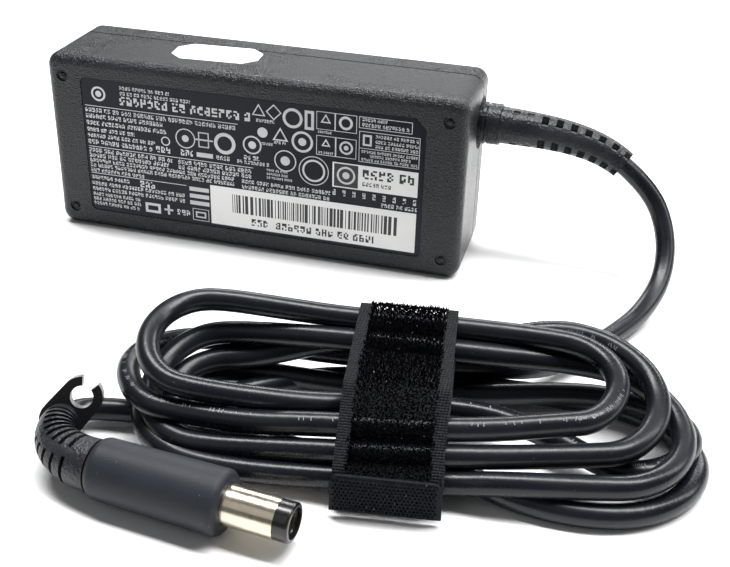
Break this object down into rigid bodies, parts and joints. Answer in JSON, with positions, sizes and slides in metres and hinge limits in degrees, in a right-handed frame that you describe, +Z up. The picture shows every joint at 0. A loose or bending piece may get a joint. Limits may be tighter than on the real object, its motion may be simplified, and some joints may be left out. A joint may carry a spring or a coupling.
{
  "type": "laptop power adapter",
  "caption": "Mains-to-DC power adapter: a flat plastic brick with a mains inlet, and a low-voltage lead wound in a hank under a hook and loop strap, ending in a round barrel plug.",
  "frame": {"origin": "middle of the brick's underside, the long narrow side it stands on", "axes": "+Z up, +X along the brick from the mains inlet to the lead's exit, -Y out of the label"},
  "size_m": [0.1658, 0.1334, 0.046],
  "materials": {
    "case": "fine-grained matt moulding",
    "label": "satin printed film",
    "paper": "matt white paper",
    "inlet": "smooth moulding",
    "plated": "nickel plated",
    "wire": "coloured insulation",
    "board": "glass-epoxy laminate",
    "component": "moulded epoxy",
    "ceramic": "dipped ceramic",
    "ferrite": "sintered ferrite",
    "copper": "copper",
    "heatsink": "sheet aluminium",
    "can": "sleeved aluminium can",
    "tape": "polyester tape",
    "film": "insulating film",
    "relief": "grained soft moulding",
    "cord": "satin jacket",
    "loop_fabric": "fuzzy loop pile with woven edges",
    "hook_fabric": "moulded hook tape",
    "grip": "smooth matt moulding",
    "insulator": "smooth black plastic"
  },
  "bodies": {
    "adapter": {"front_shell": "case", "rear_shell": "case", "rating_label": "label", "seam_sticker": "paper", "inlet_body": "inlet", "inlet_live_pin": "plated", "inlet_neutral_pin": "plated", "inlet_earth_pin": "plated", "live_wire": "wire", "neutral_wire": "wire", "earth_wire": "wire", "circuit_board": "board", "fuse": "component", "surge_varistor": "ceramic", "line_capacitor": "tape", "line_choke_core": "ferrite", "line_choke_windings": "copper", "bridge_rectifier": "component", "bulk_capacitor": "can", "switching_transistor": "component", "primary_heat_sink": "heatsink", "transformer_core": "ferrite", "transformer_bobbin": "component", "transformer_winding": "tape", "safety_capacitor": "ceramic", "optocoupler": "component", "control_chip": "component", "secondary_heat_sink": "heatsink", "output_rectifier": "component", "output_capacitors": "can", "output_choke": "copper", "heat_sink_screws": "heatsink", "insulation_sheet": "film", "copper_shield": "copper", "dc_positive_wire": "wire", "dc_negative_wire": "wire", "dc_sense_wire": "wire", "exit_strain_relief": "relief", "cord_lead": "cord", "cord_hank": "cord", "cord_tail": "cord", "cord_clip": "relief", "strap_band": "loop_fabric", "plug_strain_relief": "grip", "plug_grip": "grip", "plug_barrel": "plated", "plug_tip_insulator": "insulator", "plug_inner_sleeve": "plated", "plug_centre_pin": "plated"},
    "strap_tab": {"strap_hook_tab": "hook_fabric"}
  },
  "joints": [
    {"name": "strap_tab_peel", "type": "hinge", "parent": "adapter", "child": "strap_tab", "pos_m": [0.05715, -0.10267, 0.0015], "axis": [0.9903, 0.1392, 0], "range_deg": [0, 80]}
  ]
}
